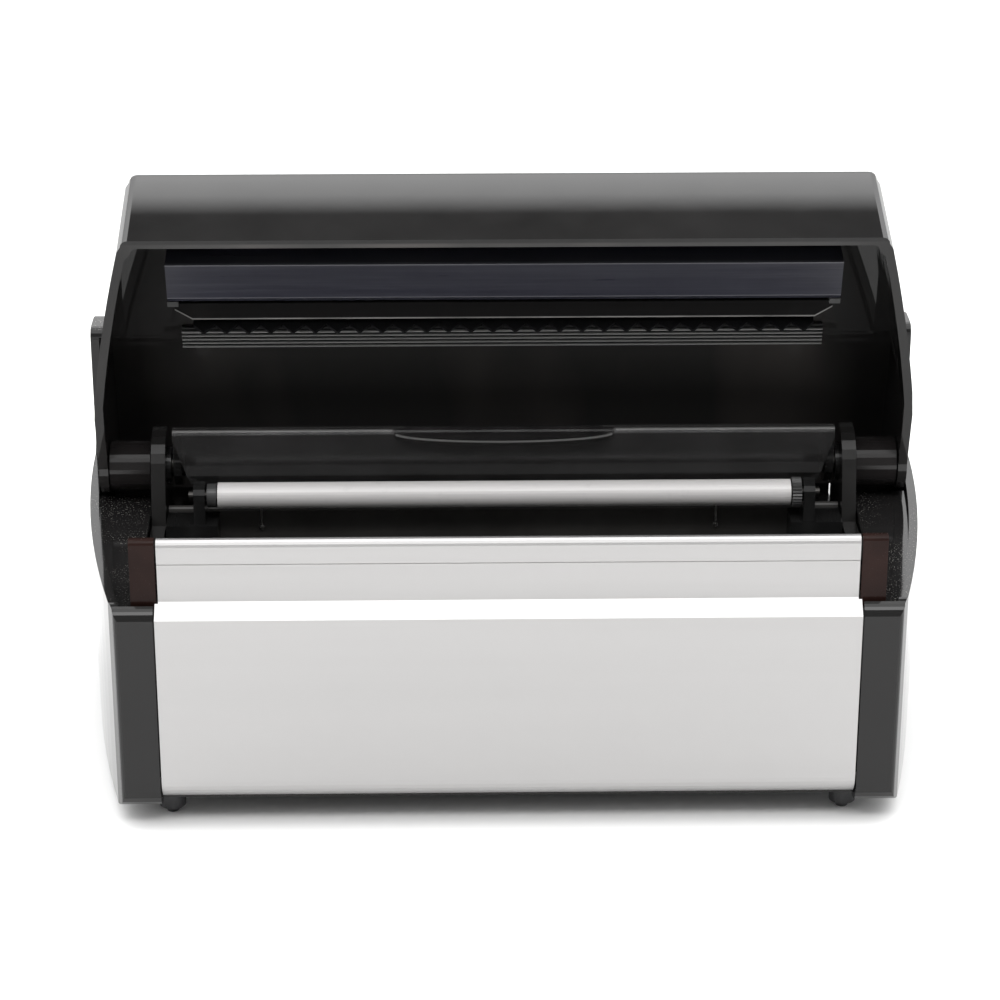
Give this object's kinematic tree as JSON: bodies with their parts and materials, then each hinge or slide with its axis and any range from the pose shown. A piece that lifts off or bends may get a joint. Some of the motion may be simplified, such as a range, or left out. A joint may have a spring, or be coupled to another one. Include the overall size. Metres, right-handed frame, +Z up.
{
  "type": "film dispenser",
  "caption": "Desk-top film dispenser with a lift-up lid that holds a toothed blade behind a sprung guard bar, a guide roller, a hinged clear flap and a metal front panel",
  "frame": {"origin": "middle of the footprint at the level of the feet's undersides", "axes": "+X is to the right along the length, +Y is to the back, where the lid hinges, +Z is up"},
  "size_m": [0.1928, 0.104, 0.1277],
  "materials": {
    "gloss_black": "polished black moulding",
    "satin_black": "satin black moulding",
    "anodised_silver": "satin anodised silver",
    "polished_steel": "bright drawn steel",
    "guard_black": "satin blue-black moulding",
    "smoked_clear": "smoked clear moulding",
    "rubber": "soft black rubber"
  },
  "bodies": {
    "base": {"tub": "satin_black", "cross_wall": "gloss_black", "front_panel": "anodised_silver", "rear_cover": "gloss_black", "end_cap_left": "gloss_black", "end_cap_right": "gloss_black", "corner_post_left": "satin_black", "corner_post_right": "satin_black", "hinge_bush_left": "satin_black", "hinge_bush_right": "satin_black", "hinge_pin_left": "polished_steel", "hinge_pin_right": "polished_steel", "roller_bracket_left": "satin_black", "roller_bracket_right": "satin_black", "brake_spring_left": "polished_steel", "brake_spring_right": "polished_steel", "brake_screw_left": "polished_steel", "brake_screw_right": "polished_steel", "foot_front_left": "rubber", "foot_front_right": "rubber", "foot_rear_left": "rubber", "foot_rear_right": "rubber"},
    "lid": {"lid_shell": "gloss_black", "lid_barrel_left": "gloss_black", "lid_barrel_right": "gloss_black", "blade_carrier": "satin_black", "blade_clamp": "satin_black", "blade": "polished_steel", "ribbed_strip": "rubber", "guard_guide_left": "satin_black", "guard_guide_right": "satin_black", "guard_pin_left": "polished_steel", "guard_pin_right": "polished_steel"},
    "guard": {"guard_bar": "guard_black"},
    "roller": {"roller_tube": "polished_steel", "roller_shaft": "polished_steel", "knurled_wheel": "satin_black", "roller_collar": "satin_black"},
    "flap": {"flap": "smoked_clear"}
  },
  "joints": [
    {"name": "lid_hinge", "type": "hinge", "parent": "base", "child": "lid", "pos_m": [0, 0.014, 0.0591], "axis": [1, 0, 0], "range_deg": [0, 72]},
    {"name": "guard_slide", "type": "slide", "parent": "lid", "child": "guard", "axis": [0, 0.9613, 0.2756], "range_m": [0, 0.004], "stiffness_N_per_m": 300, "springref_m": -0.003},
    {"name": "flap_hinge", "type": "hinge", "parent": "base", "child": "flap", "pos_m": [0, 0.014, 0.0591], "axis": [1, 0, 0], "range_deg": [-40, 0]},
    {"name": "roller_spin", "type": "hinge", "parent": "base", "child": "roller", "pos_m": [0, 0.002, 0.0565], "axis": [1, 0, 0], "continuous": true}
  ]
}
